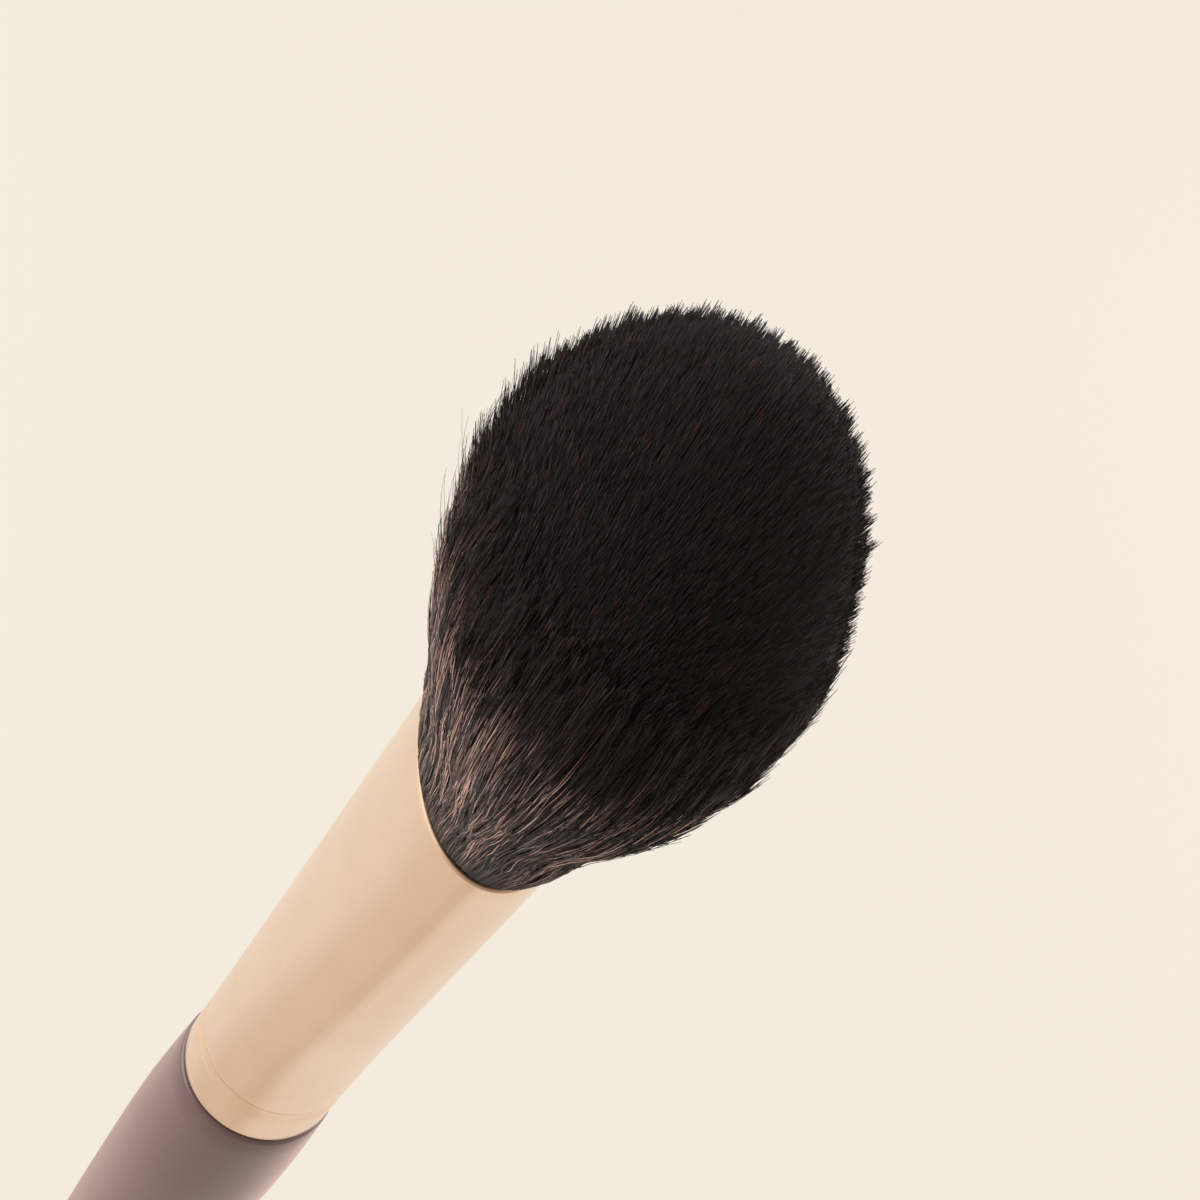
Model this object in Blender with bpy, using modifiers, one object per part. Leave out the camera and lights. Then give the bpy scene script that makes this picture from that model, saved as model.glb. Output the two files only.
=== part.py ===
# Blush brush: a lacquered wooden handle, a drawn metal ferrule that goes from round to oval,
# and a domed bundle of hair set in it with resin.
# Lengths are in metres. The brush stands on the butt of its handle, with +Z towards the hair
# tips and X across the wide side of the oval.

import math

import bmesh
import bpy

FIT_GAP = 0.0003  # clearance between pieces that seat in one another
SIDES = 40  # facets around every round or oval piece
MERGE_DISTANCE = 0.00001

# Handle, from its butt up to the ferrule's lower edge
HANDLE_LENGTH = 0.1
HANDLE_TOP_RADIUS = 0.0066
HANDLE_BELLY_RADIUS = 0.007
HANDLE_BELLY_DROP = 0.013  # from the ferrule down to the widest place
HANDLE_TAIL_RADIUS = 0.0041
HANDLE_TAIL_HEIGHT = 0.0035  # where the long taper ends and the butt rounds in
HANDLE_FLAT_RADIUS = 0.0027
HANDLE_SHOULDER_ROUND = 0.0004
TAPER_POWER = 1.35
TAPER_STEPS = 12
BELLY_STEPS = 4
ROUND_STEPS = 4

# Tenon, the turned spigot that the ferrule is pushed on to
TENON_LENGTH = 0.016
TENON_CHAMFER = 0.0007
GLUE_GROOVE_COUNT = 3
GLUE_GROOVE_WIDTH = 0.0009
GLUE_GROOVE_DEPTH = 0.0004
GLUE_GROOVE_PITCH = 0.0022
GLUE_GROOVE_TOP = 0.002  # from the tenon's end down to the first groove

# Ferrule, a thin tube with a round foot and an oval mouth
FERRULE_LENGTH = 0.048
FERRULE_WALL = 0.0004
FERRULE_BASE_RADIUS = 0.00645
MOUTH_HALF_WIDTH = 0.011
MOUTH_HALF_DEPTH = 0.0062
FERRULE_BAND_LENGTH = 0.0065  # straight foot, pressed into the handle
FLARE_BOW_SHARE = 0.34  # how far the flare bulges past a straight cone
FLARE_SOFTNESS_SHARE = 0.16
FLARE_STEPS = 11
CRIMP_HEIGHT = 0.0042  # from the ferrule's lower edge to the middle of the crimp
CRIMP_WIDTH = 0.0017
CRIMP_DEPTH = 0.00034
CRIMP_STEPS = 4
LIP_TURN = 0.00024  # how far the mouth is turned in
LIP_LENGTH = 0.0012
LIP_STEPS = 2
EDGE_ROUND_SHARE = 0.35  # of the wall

# Resin that holds the roots, and the thread that ties them
SLICE_DEPTH = 0.003  # from the mouth down to the resin
SLICE_THICKNESS = 0.0022
PLUG_LENGTH = 0.011
PLUG_EDGE_ROUND = 0.0006
THREAD_DIAMETER = 0.0006
THREAD_TURNS = 5
THREAD_HEIGHT = 0.0022  # from the plug's lower end to the lowest turn

# Hair, laid out on a unit disc and stretched over the oval of each height
HAIR_LENGTH = 0.0374  # from the mouth to the topmost tip
HAIR_COUNT = 320
HAIR_SIDES = 3
HAIR_ROOT_DEPTH = 0.0012  # how deep the strands stand in the slice of resin
HAIR_FLARE_WIDTH = 0.0182  # how far the outermost line leans out over the hair's length
HAIR_FLARE_DEPTH = 0.0172
HAIR_SOFTNESS_SHARE = 0.02
HAIR_SECTION_SHARE = 0.038  # a strand's radius on the unit disc
HAIR_SHOULDER_SHARE = 0.8  # of a strand's length, where it starts to taper
HAIR_SHOULDER_TAPER_SHARE = 0.85
HAIR_JITTER_SHARE = 0.05
DOME_RIM_SHARE = 0.24  # height at which the outermost strands end
DOME_POWER = 1.4
DOME_CURVE = 0.54
GOLDEN_ANGLE = math.pi * (3 - math.sqrt(5))
GOLDEN_RATIO = (math.sqrt(5) - 1) / 2

# Heights along the brush, from the butt
FERRULE_FOOT = HANDLE_LENGTH + FIT_GAP
MOUTH = FERRULE_FOOT + FERRULE_LENGTH
SLICE_TOP = MOUTH - SLICE_DEPTH
SLICE_BASE = SLICE_TOP - SLICE_THICKNESS
PLUG_TOP = SLICE_BASE - FIT_GAP
PLUG_BASE = PLUG_TOP - PLUG_LENGTH

# Radii of the tenon, from the tube around it
TENON_RADIUS = FERRULE_BASE_RADIUS - FERRULE_WALL - FIT_GAP


def clear_scene():
    for found in list(bpy.data.objects):
        bpy.data.objects.remove(found, do_unlink=True)


def make_collection(name):
    made = bpy.data.collections.new(name)
    bpy.context.scene.collection.children.link(made)
    return made


def make_material(name, colour, roughness, metallic=0.0, coat=0.0):
    made = bpy.data.materials.new(name)
    made.use_nodes = True
    made.diffuse_color = (*colour, 1)
    shader = made.node_tree.nodes["Principled BSDF"]
    shader.inputs["Base Color"].default_value = (*colour, 1)
    shader.inputs["Roughness"].default_value = roughness
    shader.inputs["Metallic"].default_value = metallic
    shader.inputs["Coat Weight"].default_value = coat
    return made


def make_object(name, mesh, collection, material=None):
    made = bpy.data.objects.new(name, mesh)
    collection.objects.link(made)
    if material:
        mesh.materials.append(material)
    return made


def shade_round(mesh):
    mesh.shade_smooth()
    mesh.set_sharp_from_angle(angle=math.radians(40))


def turned(name, profile, collection, material):
    """A turned piece from (radius, height) points, from the top of the axis down the outside."""
    mesh = bpy.data.meshes.new(name)
    edges = [(i, i + 1) for i in range(len(profile) - 1)]
    mesh.from_pydata([(radius, 0, height) for radius, height in profile], edges, [])
    made = make_object(name, mesh, collection, material)
    screw = made.modifiers.new("Turn", "SCREW")
    screw.steps = SIDES
    screw.render_steps = SIDES
    screw.use_merge_vertices = True
    screw.merge_threshold = MERGE_DISTANCE
    screw.use_smooth_shade = True
    return made


def loft(rings, around=False):
    """A bmesh skinned over rings of like count. Around joins the last ring to the first."""
    made = bmesh.new()
    loops = [[made.verts.new(point) for point in ring] for ring in rings]
    pairs = list(zip(loops, loops[1:]))
    if around:
        pairs.append((loops[-1], loops[0]))
    for lower, upper in pairs:
        count = len(lower)
        for i in range(count):
            after = (i + 1) % count
            made.faces.new((lower[i], lower[after], upper[after], upper[i]))
    return made, loops


def cap_ends(made, loops):
    made.faces.new(list(reversed(loops[0])))
    made.faces.new(loops[-1])


def finish_mesh(made, name):
    bmesh.ops.recalc_face_normals(made, faces=made.faces)
    mesh = bpy.data.meshes.new(name)
    made.to_mesh(mesh)
    made.free()
    return mesh


def bell(distance, width):
    """1 in the middle and 0 at half the width to either side."""
    if abs(distance) >= width / 2:
        return 0.0
    return (1 + math.cos(2 * math.pi * distance / width)) / 2


def steps(start, end, count):
    return [start + (end - start) * i / count for i in range(count + 1)]


def arc(centre_radius, centre_height, radius, start, end):
    """Points of an arc in the profile plane, with angles in degrees from the outward direction."""
    angles = [math.radians(angle) for angle in steps(start, end, ROUND_STEPS)]
    return [
        (centre_radius + radius * math.cos(angle), centre_height + radius * math.sin(angle))
        for angle in angles
    ]


def crimp_dip(height):
    """How far the crimp presses the ferrule in, at a height above its lower edge."""
    return CRIMP_DEPTH * bell(height - CRIMP_HEIGHT, CRIMP_WIDTH)


def lip_dip(height):
    reach = max(0.0, height - (FERRULE_LENGTH - LIP_LENGTH)) / LIP_LENGTH
    return LIP_TURN * reach**2


def flare(height):
    """0 along the ferrule's straight foot and 1 at its mouth, with a soft start and a bowed side."""
    run = (height - FERRULE_BAND_LENGTH) / (FERRULE_LENGTH - FERRULE_BAND_LENGTH)
    run = min(max(run, 0.0), 1.0)
    if run < FLARE_SOFTNESS_SHARE:
        eased = run**2 / (2 * FLARE_SOFTNESS_SHARE)
    else:
        eased = run - FLARE_SOFTNESS_SHARE / 2
    eased /= 1 - FLARE_SOFTNESS_SHARE / 2
    return eased * (1 + FLARE_BOW_SHARE * (1 - eased))


def ferrule_axes(height, inset=0.0):
    """Half width and half depth of the ferrule's outside, less an inset, at a height above its foot."""
    grown = flare(height)
    dip = crimp_dip(height) + lip_dip(height) + inset
    half_width = FERRULE_BASE_RADIUS + (MOUTH_HALF_WIDTH - FERRULE_BASE_RADIUS) * grown - dip
    half_depth = FERRULE_BASE_RADIUS + (MOUTH_HALF_DEPTH - FERRULE_BASE_RADIUS) * grown - dip
    return half_width, half_depth


def oval_ring(half_width, half_depth, height):
    angles = steps(0, 2 * math.pi, SIDES)[:-1]
    return [(half_width * math.cos(a), half_depth * math.sin(a), height) for a in angles]


def inner_ring(height, inset):
    """A ring that clears the ferrule's inner wall by the fit gap, and by a further inset."""
    axes = ferrule_axes(height - FERRULE_FOOT, FERRULE_WALL + FIT_GAP + inset)
    return oval_ring(*axes, height)


def crimp_heights():
    return [
        height + CRIMP_HEIGHT
        for height in steps(-CRIMP_WIDTH / 2, CRIMP_WIDTH / 2, CRIMP_STEPS)
    ]


def tenon_profile():
    """Outline of the tenon from the middle of its end down to the handle's shoulder."""
    end = HANDLE_LENGTH + TENON_LENGTH
    points = [
        (0, end),
        (TENON_RADIUS - TENON_CHAMFER, end),
        (TENON_RADIUS, end - TENON_CHAMFER),
    ]
    for i in range(GLUE_GROOVE_COUNT):
        top = end - GLUE_GROOVE_TOP - i * GLUE_GROOVE_PITCH
        floor = TENON_RADIUS - GLUE_GROOVE_DEPTH
        points += [
            (TENON_RADIUS, top),
            (floor, top - GLUE_GROOVE_WIDTH / 3),
            (floor, top - GLUE_GROOVE_WIDTH * 2 / 3),
            (TENON_RADIUS, top - GLUE_GROOVE_WIDTH),
        ]
    for height in reversed(crimp_heights()):
        points.append((TENON_RADIUS - crimp_dip(height), FERRULE_FOOT + height))
    points.append((TENON_RADIUS, HANDLE_LENGTH))
    return points


def handle_radius(height):
    drop = HANDLE_LENGTH - height
    if drop < HANDLE_BELLY_DROP:
        swell = math.sin(math.pi / 2 * drop / HANDLE_BELLY_DROP)
        return HANDLE_TOP_RADIUS + (HANDLE_BELLY_RADIUS - HANDLE_TOP_RADIUS) * swell
    taper = (drop - HANDLE_BELLY_DROP) / (HANDLE_LENGTH - HANDLE_BELLY_DROP - HANDLE_TAIL_HEIGHT)
    return HANDLE_BELLY_RADIUS - (HANDLE_BELLY_RADIUS - HANDLE_TAIL_RADIUS) * taper**TAPER_POWER


def grip_profile():
    """Outline of the handle below the ferrule: shoulder, belly, long taper and rounded butt."""
    shoulder = HANDLE_SHOULDER_ROUND
    points = arc(HANDLE_TOP_RADIUS - shoulder, HANDLE_LENGTH - shoulder, shoulder, 90, 0)
    belly = HANDLE_LENGTH - HANDLE_BELLY_DROP
    for height in steps(HANDLE_LENGTH - shoulder, belly, BELLY_STEPS)[1:]:
        points.append((handle_radius(height), height))
    for height in steps(belly, HANDLE_TAIL_HEIGHT, TAPER_STEPS)[1:]:
        points.append((handle_radius(height), height))
    for angle in steps(0, math.pi / 2, ROUND_STEPS)[1:]:
        reach = (HANDLE_TAIL_RADIUS - HANDLE_FLAT_RADIUS) * math.cos(angle)
        height = HANDLE_TAIL_HEIGHT * (1 - math.sin(angle))
        points.append((HANDLE_FLAT_RADIUS + reach, height))
    points.append((0, 0))
    return points


def make_handle(collection):
    lacquer = make_material("mauve_lacquer", (0.33, 0.21, 0.2), 0.34, coat=0.3)
    return turned("handle", tenon_profile() + grip_profile(), collection, lacquer)


def make_ferrule(collection):
    """The skin is lofted from the round foot to the oval mouth, then given its wall and eased edges."""
    lip_start = FERRULE_LENGTH - LIP_LENGTH
    heights = [0, *crimp_heights()]
    heights += steps(FERRULE_BAND_LENGTH, lip_start, FLARE_STEPS)
    heights += steps(lip_start, FERRULE_LENGTH, LIP_STEPS)[1:]
    rings = [oval_ring(*ferrule_axes(height), FERRULE_FOOT + height) for height in heights]
    made, _ = loft(rings)
    mesh = finish_mesh(made, "ferrule")
    metal = make_material("champagne_metal", (0.83, 0.62, 0.47), 0.36, metallic=1.0)
    tube = make_object("ferrule", mesh, collection, metal)
    wall = tube.modifiers.new("Wall", "SOLIDIFY")
    wall.thickness = FERRULE_WALL
    wall.offset = -1
    edges = tube.modifiers.new("Eased edges", "BEVEL")
    edges.width = FERRULE_WALL * EDGE_ROUND_SHARE
    edges.segments = 2
    edges.limit_method = "ANGLE"
    edges.angle_limit = math.radians(50)
    shade_round(mesh)
    return tube


def make_plug(collection):
    """The body of resin under the strands, waisted where the thread ties the roots."""
    waist = THREAD_DIAMETER + FIT_GAP
    band_base = PLUG_BASE + THREAD_HEIGHT - FIT_GAP
    band_top = band_base + THREAD_DIAMETER * THREAD_TURNS + 2 * FIT_GAP
    stations = [
        (PLUG_BASE, PLUG_EDGE_ROUND),
        (PLUG_BASE + PLUG_EDGE_ROUND, 0),
        (band_base, 0),
        (band_base, waist),
        (band_top, waist),
        (band_top, 0),
        (PLUG_TOP, 0),
    ]
    made, loops = loft([inner_ring(*station) for station in stations])
    cap_ends(made, loops)
    mesh = finish_mesh(made, "glue_plug")
    shade_round(mesh)
    resin = make_material("set_resin", (0.09, 0.05, 0.03), 0.3)
    return make_object("glue_plug", mesh, collection, resin)


def make_thread(collection):
    """The turns of thread as one ring with a ridge for each turn, lying in the plug's waist."""
    base = PLUG_BASE + THREAD_HEIGHT
    valley = THREAD_DIAMETER / 4
    stations = [(base, valley)]
    for turn in range(THREAD_TURNS):
        low = base + turn * THREAD_DIAMETER
        stations += [(low + THREAD_DIAMETER / 2, 0), (low + THREAD_DIAMETER, valley)]
    stations += [(stations[-1][0], THREAD_DIAMETER), (base, THREAD_DIAMETER)]
    made, _ = loft([inner_ring(*station) for station in stations], around=True)
    mesh = finish_mesh(made, "binding_thread")
    cotton = make_material("waxed_thread", (0.55, 0.5, 0.42), 0.8)
    return make_object("binding_thread", mesh, collection, cotton)


def strand_axes(height):
    """Half width and half depth of the oval that carries the strands, at a height above the mouth."""
    below = min(height, 0.0)
    grip = FERRULE_WALL + FIT_GAP
    half_width, half_depth = ferrule_axes(FERRULE_LENGTH + below, grip)
    rise = max(height, 0.0) / HAIR_LENGTH
    soft = HAIR_SOFTNESS_SHARE
    lean = (math.hypot(rise, soft) - soft) / (math.hypot(1, soft) - soft)
    return half_width + HAIR_FLARE_WIDTH * lean, half_depth + HAIR_FLARE_DEPTH * lean


def tip_height(radius, index):
    """Where a strand ends: a little short of the dome, by a share that differs between strands."""
    rim = DOME_RIM_SHARE * HAIR_LENGTH
    dome = rim + (HAIR_LENGTH - rim) * (1 - radius**DOME_POWER) ** DOME_CURVE
    return dome * (1 - HAIR_JITTER_SHARE * ((index * GOLDEN_RATIO) % 1))


def strand_ring(place, height, share):
    half_width, half_depth = strand_axes(height)
    ring = []
    for side in range(HAIR_SIDES):
        angle = math.radians(90) + 2 * math.pi * side / HAIR_SIDES
        across = place[0] + HAIR_SECTION_SHARE * share * math.cos(angle)
        through = place[1] + HAIR_SECTION_SHARE * share * math.sin(angle)
        ring.append((across * half_width, through * half_depth, MOUTH + height))
    return ring


def strand_places():
    """Centres of the strands on the unit disc, in sunflower order, so that none comes near another."""
    reach = 1 - HAIR_SECTION_SHARE
    places = []
    for i in range(HAIR_COUNT):
        radius = math.sqrt((i + 0.5) / HAIR_COUNT)
        angle = i * GOLDEN_ANGLE
        places.append((reach * radius * math.cos(angle), reach * radius * math.sin(angle)))
    return places


def add_strand(field, place, index):
    """One strand, from its root in the resin, straight out of the mouth, to its pointed tip."""
    height = tip_height(math.hypot(*place), index)
    rings = [
        strand_ring(place, -SLICE_DEPTH - HAIR_ROOT_DEPTH, 1),
        strand_ring(place, 0, 1),
        strand_ring(place, height * HAIR_SHOULDER_SHARE, HAIR_SHOULDER_TAPER_SHARE),
    ]
    loops = [[field.verts.new(point) for point in ring] for ring in rings]
    half_width, half_depth = strand_axes(height)
    tip = field.verts.new((place[0] * half_width, place[1] * half_depth, MOUTH + height))
    field.faces.new(list(reversed(loops[0])))
    for i in range(HAIR_SIDES):
        after = (i + 1) % HAIR_SIDES
        for lower, upper in zip(loops, loops[1:]):
            field.faces.new((lower[i], lower[after], upper[after], upper[i]))
        field.faces.new((loops[-1][i], loops[-1][after], tip))


def print_least_gap(places):
    """The strands spread from one disc, so they stand nearest at their roots, across the narrow side."""
    apart = min(math.dist(a, b) for i, a in enumerate(places) for b in places[:i])
    least = (apart - 2 * HAIR_SECTION_SHARE) * min(strand_axes(-SLICE_DEPTH))
    print(f"{len(places)} strands, none nearer another than {least * 1000:.3f} mm")


def make_hair(collection, cutters):
    """The strands, fused to the slice of resin that they stand in."""
    places = strand_places()
    field = bmesh.new()
    for index, place in enumerate(places):
        add_strand(field, place, index)
    strands = make_object("strand_field", finish_mesh(field, "strand_field"), cutters)
    strands.hide_render = True
    strands.display_type = "WIRE"
    print_least_gap(places)

    made, loops = loft([inner_ring(SLICE_BASE, 0), inner_ring(SLICE_TOP, 0)])
    cap_ends(made, loops)
    black = make_material("black_hair", (0.012, 0.009, 0.009), 0.45)
    hair = make_object("hair_bundle", finish_mesh(made, "hair_bundle"), collection, black)
    fuse = hair.modifiers.new("Fuse strands", "BOOLEAN")
    fuse.operation = "UNION"
    fuse.object = strands
    return hair


def main():
    clear_scene()
    brush = make_collection("blush_brush")
    cutters = make_collection("blush_brush_cutters")
    centre = bpy.data.objects.new("brush_axis", None)
    brush.objects.link(centre)
    pieces = [
        make_handle(brush),
        make_ferrule(brush),
        make_plug(brush),
        make_thread(brush),
        make_hair(brush, cutters),
    ]
    for piece in pieces:
        piece.parent = centre


main()
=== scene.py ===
import math

import bmesh
import bpy
import numpy as np
from mathutils import Matrix, Vector
from mathutils.kdtree import KDTree


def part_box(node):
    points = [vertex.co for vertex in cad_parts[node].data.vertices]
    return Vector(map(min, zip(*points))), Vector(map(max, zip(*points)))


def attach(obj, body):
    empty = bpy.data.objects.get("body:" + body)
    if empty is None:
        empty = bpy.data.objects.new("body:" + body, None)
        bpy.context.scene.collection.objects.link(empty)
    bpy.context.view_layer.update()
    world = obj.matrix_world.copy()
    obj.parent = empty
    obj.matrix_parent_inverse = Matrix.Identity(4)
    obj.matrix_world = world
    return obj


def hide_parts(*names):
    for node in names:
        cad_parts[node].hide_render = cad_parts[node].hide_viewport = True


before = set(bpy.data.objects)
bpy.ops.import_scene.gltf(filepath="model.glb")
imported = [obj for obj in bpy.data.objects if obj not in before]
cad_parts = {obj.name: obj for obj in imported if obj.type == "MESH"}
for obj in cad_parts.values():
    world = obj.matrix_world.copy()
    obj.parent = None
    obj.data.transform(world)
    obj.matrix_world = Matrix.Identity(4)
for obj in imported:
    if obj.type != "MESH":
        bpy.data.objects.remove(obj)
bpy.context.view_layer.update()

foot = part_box("ferrule")[0][2]  # heights that the pieces are set out from
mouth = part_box("ferrule")[1][2]
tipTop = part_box("hair_bundle")[1][2]
headLength = tipTop - mouth


# Node maths

class Wire:
    # a socket of a node tree. Sums on it add Math nodes, and node() adds any other kind
    def __init__(self, tree, socket=None):
        self.tree = tree
        self.socket = socket

    def node(self, kind, settings=None, sockets=None, output=0):
        made = self.tree.nodes.new(kind)
        for name, value in (settings or {}).items():
            if name == "stops":
                setStops(made.color_ramp, value)
            else:
                setattr(made, name, value)
        for name, value in (sockets or {}).items():
            self.plug(made, name, value)
        return Wire(self.tree, made.outputs[output])

    def plug(self, node, name, value):
        if isinstance(name, int):
            socket = node.inputs[name]
        else:
            socket = next(s for s in node.inputs if name in (s.identifier, s.name))
        if isinstance(value, Wire):
            self.tree.links.new(value.socket, socket)
        else:
            socket.default_value = value

    def maths(self, operation, *values):
        return self.node("ShaderNodeMath", {"operation": operation}, dict(enumerate(values)))

    def mixed(self, factor, first, second, blend="MIX"):
        settings = {"data_type": "RGBA", "blend_type": blend}
        sockets = {"Factor_Float": factor, "A_Color": first, "B_Color": second}
        return self.node("ShaderNodeMix", settings, sockets, output=2)

    def noise(self, coordinates, scale, detail=2.0, roughness=0.5):
        sockets = {"Vector": coordinates, "Scale": scale, "Detail": detail, "Roughness": roughness}
        return self.node("ShaderNodeTexNoise", None, sockets)

    def stretched(self, coordinates, scale):
        return self.node("ShaderNodeMapping", None, {"Vector": coordinates, "Scale": scale})

    def ramp(self, factor, stops):
        return self.node("ShaderNodeValToRGB", {"stops": stops}, {"Fac": factor})

    def stepped(self, low, high):
        # 0 below low, 1 above high, smooth between
        settings = {"interpolation_type": "SMOOTHSTEP"}
        sockets = {"Value": self, "From Min": low, "From Max": high}
        return self.node("ShaderNodeMapRange", settings, sockets)

    def __add__(self, other):
        return self.maths("ADD", self, other)

    def __radd__(self, other):
        return self.maths("ADD", other, self)

    def __sub__(self, other):
        return self.maths("SUBTRACT", self, other)

    def __rsub__(self, other):
        return self.maths("SUBTRACT", other, self)

    def __mul__(self, other):
        return self.maths("MULTIPLY", self, other)

    def __rmul__(self, other):
        return self.maths("MULTIPLY", other, self)


def setStops(ramp, stops):
    while len(ramp.elements) < len(stops):
        ramp.elements.new(1.0)
    for element, (place, colour) in zip(ramp.elements, stops):
        element.position = place
        element.color = (*colour, 1)


def newMaterial(name, values):
    # a material, its shader with the values that are the same all over, and a wire to build on
    material = bpy.data.materials.new(name)
    material.use_nodes = True
    shader = material.node_tree.nodes["Principled BSDF"]
    for socket, value in values.items():
        shader.inputs[socket].default_value = value
    return material, shader, Wire(material.node_tree)


def objectPlace(wire):
    return wire.node("ShaderNodeTexCoord", output=3)


def bumped(wire, height, strength, distance):
    sockets = {"Height": height, "Strength": strength, "Distance": distance}
    return wire.node("ShaderNodeBump", None, sockets)


# Mesh helpers

def finishPiece(name, mesh, material, node):
    # links a finished mesh as a piece of the brush, which is one body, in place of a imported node
    piece = bpy.data.objects.new(name, mesh)
    bpy.context.scene.collection.objects.link(piece)
    mesh.materials.clear()
    mesh.materials.append(material)
    mesh.polygons.foreach_set("use_smooth", [True] * len(mesh.polygons))
    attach(piece, "root")
    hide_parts(node)


def meshFrom(bm, name):
    bmesh.ops.recalc_face_normals(bm, faces=bm.faces)
    mesh = bpy.data.meshes.new(name)
    bm.to_mesh(mesh)
    bm.free()
    return mesh


def spunMesh(name, profile, around):
    # turns (radius, height) points about Z. The first and last points lie on the axis
    bm = bmesh.new()
    verts = [bm.verts.new((radius, 0, height)) for radius, height in profile]
    for lower, upper in zip(verts, verts[1:]):
        bm.edges.new((lower, upper))
    bmesh.ops.spin(
        bm, geom=bm.verts[:] + bm.edges[:], cent=(0, 0, 0), axis=(0, 0, 1),
        angle=2 * math.pi, steps=around, use_merge=True, use_duplicate=False,
    )
    bmesh.ops.remove_doubles(bm, verts=bm.verts, dist=1e-7)
    return meshFrom(bm, name)


def ovalSkin(bm, stations, around):
    # a circle drawn up through (halfWidth, halfDepth, height) stations. Gives its first and last edges
    halfWidth, halfDepth, height = stations[0]
    bmesh.ops.create_circle(bm, segments=around, radius=1)
    bmesh.ops.transform(
        bm, matrix=Matrix.Translation((0, 0, height)) @ Matrix.Diagonal((halfWidth, halfDepth, 1, 1)),
        verts=bm.verts,
    )
    first = ring = bm.edges[:]
    for width, depth, top in stations[1:]:
        grown = bmesh.ops.extrude_edge_only(bm, edges=ring)["geom"]
        verts = [item for item in grown if isinstance(item, bmesh.types.BMVert)]
        edges = [item for item in grown if isinstance(item, bmesh.types.BMEdge)]
        added = set(verts)
        ring = [edge for edge in edges if added.issuperset(edge.verts)]
        bmesh.ops.scale(bm, vec=(width / halfWidth, depth / halfDepth, 1), verts=verts)
        bmesh.ops.translate(bm, vec=(0, 0, top - height), verts=verts)
        halfWidth, halfDepth, height = width, depth, top
    return first, ring


def spread(start, end, count):
    # evenly spaced values, both ends among them
    return [start + (end - start) * i / count for i in range(count + 1)]


def smooth(share):
    # eases a share from 0 to 1, and holds it outside those
    share = np.clip(share, 0, 1)
    return share * share * (3 - 2 * share)


# Handle: a turned grip under satin lacquer

handle = {
    "topRadius": 0.0066,
    "bellyRadius": 0.007,
    "bellyDrop": 0.013,  # from the ferrule down to the widest place
    "tailRadius": 0.0041,
    "tailHeight": 0.0035,
    "flatRadius": 0.0027,
    "taperPower": 1.35,
    "shoulderRound": 0.0004,
    "fitGap": 0.0003,
    "tenonRadius": 0.00575,
    "tenonLength": 0.016,
    "sharpAngle": 50,  # degrees, past which an edge isn't shaded smooth
    "around": 96,
    "taperSteps": 40,
    "roundSteps": 7,
    "shades": ((0.098, 0.052, 0.053, 1), (0.11, 0.06, 0.06, 1)),  # of the lacquer, in slow clouds
    "grainShade": (0.1, 0.053, 0.053, 1),
    "grainShare": 0.18,
    "dustShade": (0.4, 0.32, 0.3, 1),
    "dustShare": 0.12,
    "dustHeight": 0.3,
    "roughness": 0.4,
    "coatWeight": 0.7,
    "cloudRange": 0.1,  # how much both of these vary with the clouds
}


def handleRadius(height, top):
    drop = top - height
    if drop < handle["bellyDrop"]:
        swell = math.sin(math.pi / 2 * drop / handle["bellyDrop"])
        return handle["topRadius"] + (handle["bellyRadius"] - handle["topRadius"]) * swell
    taper = (drop - handle["bellyDrop"]) / (top - handle["bellyDrop"] - handle["tailHeight"])
    thinned = (handle["bellyRadius"] - handle["tailRadius"]) * taper ** handle["taperPower"]
    return handle["bellyRadius"] - thinned


def handleProfile():
    top = foot - handle["fitGap"]
    tail = handle["tailHeight"]
    points = [(0, 0)]
    for angle in spread(math.pi / 2, 0, handle["roundSteps"]):
        reach = (handle["tailRadius"] - handle["flatRadius"]) * math.cos(angle)
        points.append((handle["flatRadius"] + reach, tail * (1 - math.sin(angle))))
    for height in spread(tail, top - handle["shoulderRound"], handle["taperSteps"])[1:]:
        points.append((handleRadius(height, top), height))
    centre = handleRadius(top, top) - handle["shoulderRound"]
    for angle in spread(0, math.pi / 2, handle["roundSteps"])[1:]:
        out = centre + handle["shoulderRound"] * math.cos(angle)
        points.append((out, top + handle["shoulderRound"] * (math.sin(angle) - 1)))
    points.append((handle["tenonRadius"], top))
    points.append((handle["tenonRadius"], top + handle["tenonLength"]))
    points.append((0, top + handle["tenonLength"]))
    return points


def lacquerFinish():
    # a pinkish grey-brown satin coat over wood, with a faint unevenness and fine dust under it
    material, shader, wire = newMaterial("mauve_lacquer", {
        "IOR": 1.5,
        "Coat Roughness": 0.32,
        "Coat IOR": 1.5,
        "Specular IOR Level": 0.15,
        "Sheen Weight": 0.5,
        "Sheen Roughness": 0.4,
        "Sheen Tint": (1.0, 0.64, 0.63, 1),
    })
    place = objectPlace(wire)
    clouds = wire.noise(place, scale=90.0, detail=3.0)
    grain = wire.noise(wire.stretched(place, (1, 1, 0.05)), scale=1400.0)
    dust = wire.noise(place, scale=5200.0, detail=1.0).stepped(0.66, 0.74)
    shade = wire.mixed(clouds.stepped(0.3, 0.7), *handle["shades"])
    shade = wire.mixed(grain * handle["grainShare"], shade, handle["grainShade"])
    shade = wire.mixed(dust * handle["dustShare"], shade, handle["dustShade"])
    wire.plug(shader, "Base Color", shade)
    wire.plug(shader, "Roughness", clouds * handle["cloudRange"] + handle["roughness"])
    wire.plug(shader, "Coat Weight", clouds * handle["cloudRange"] + handle["coatWeight"])
    skin = wire.noise(place, scale=700.0) + dust * handle["dustHeight"]
    wire.plug(shader, "Normal", bumped(wire, skin, strength=0.12, distance=0.00004))
    return material


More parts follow.
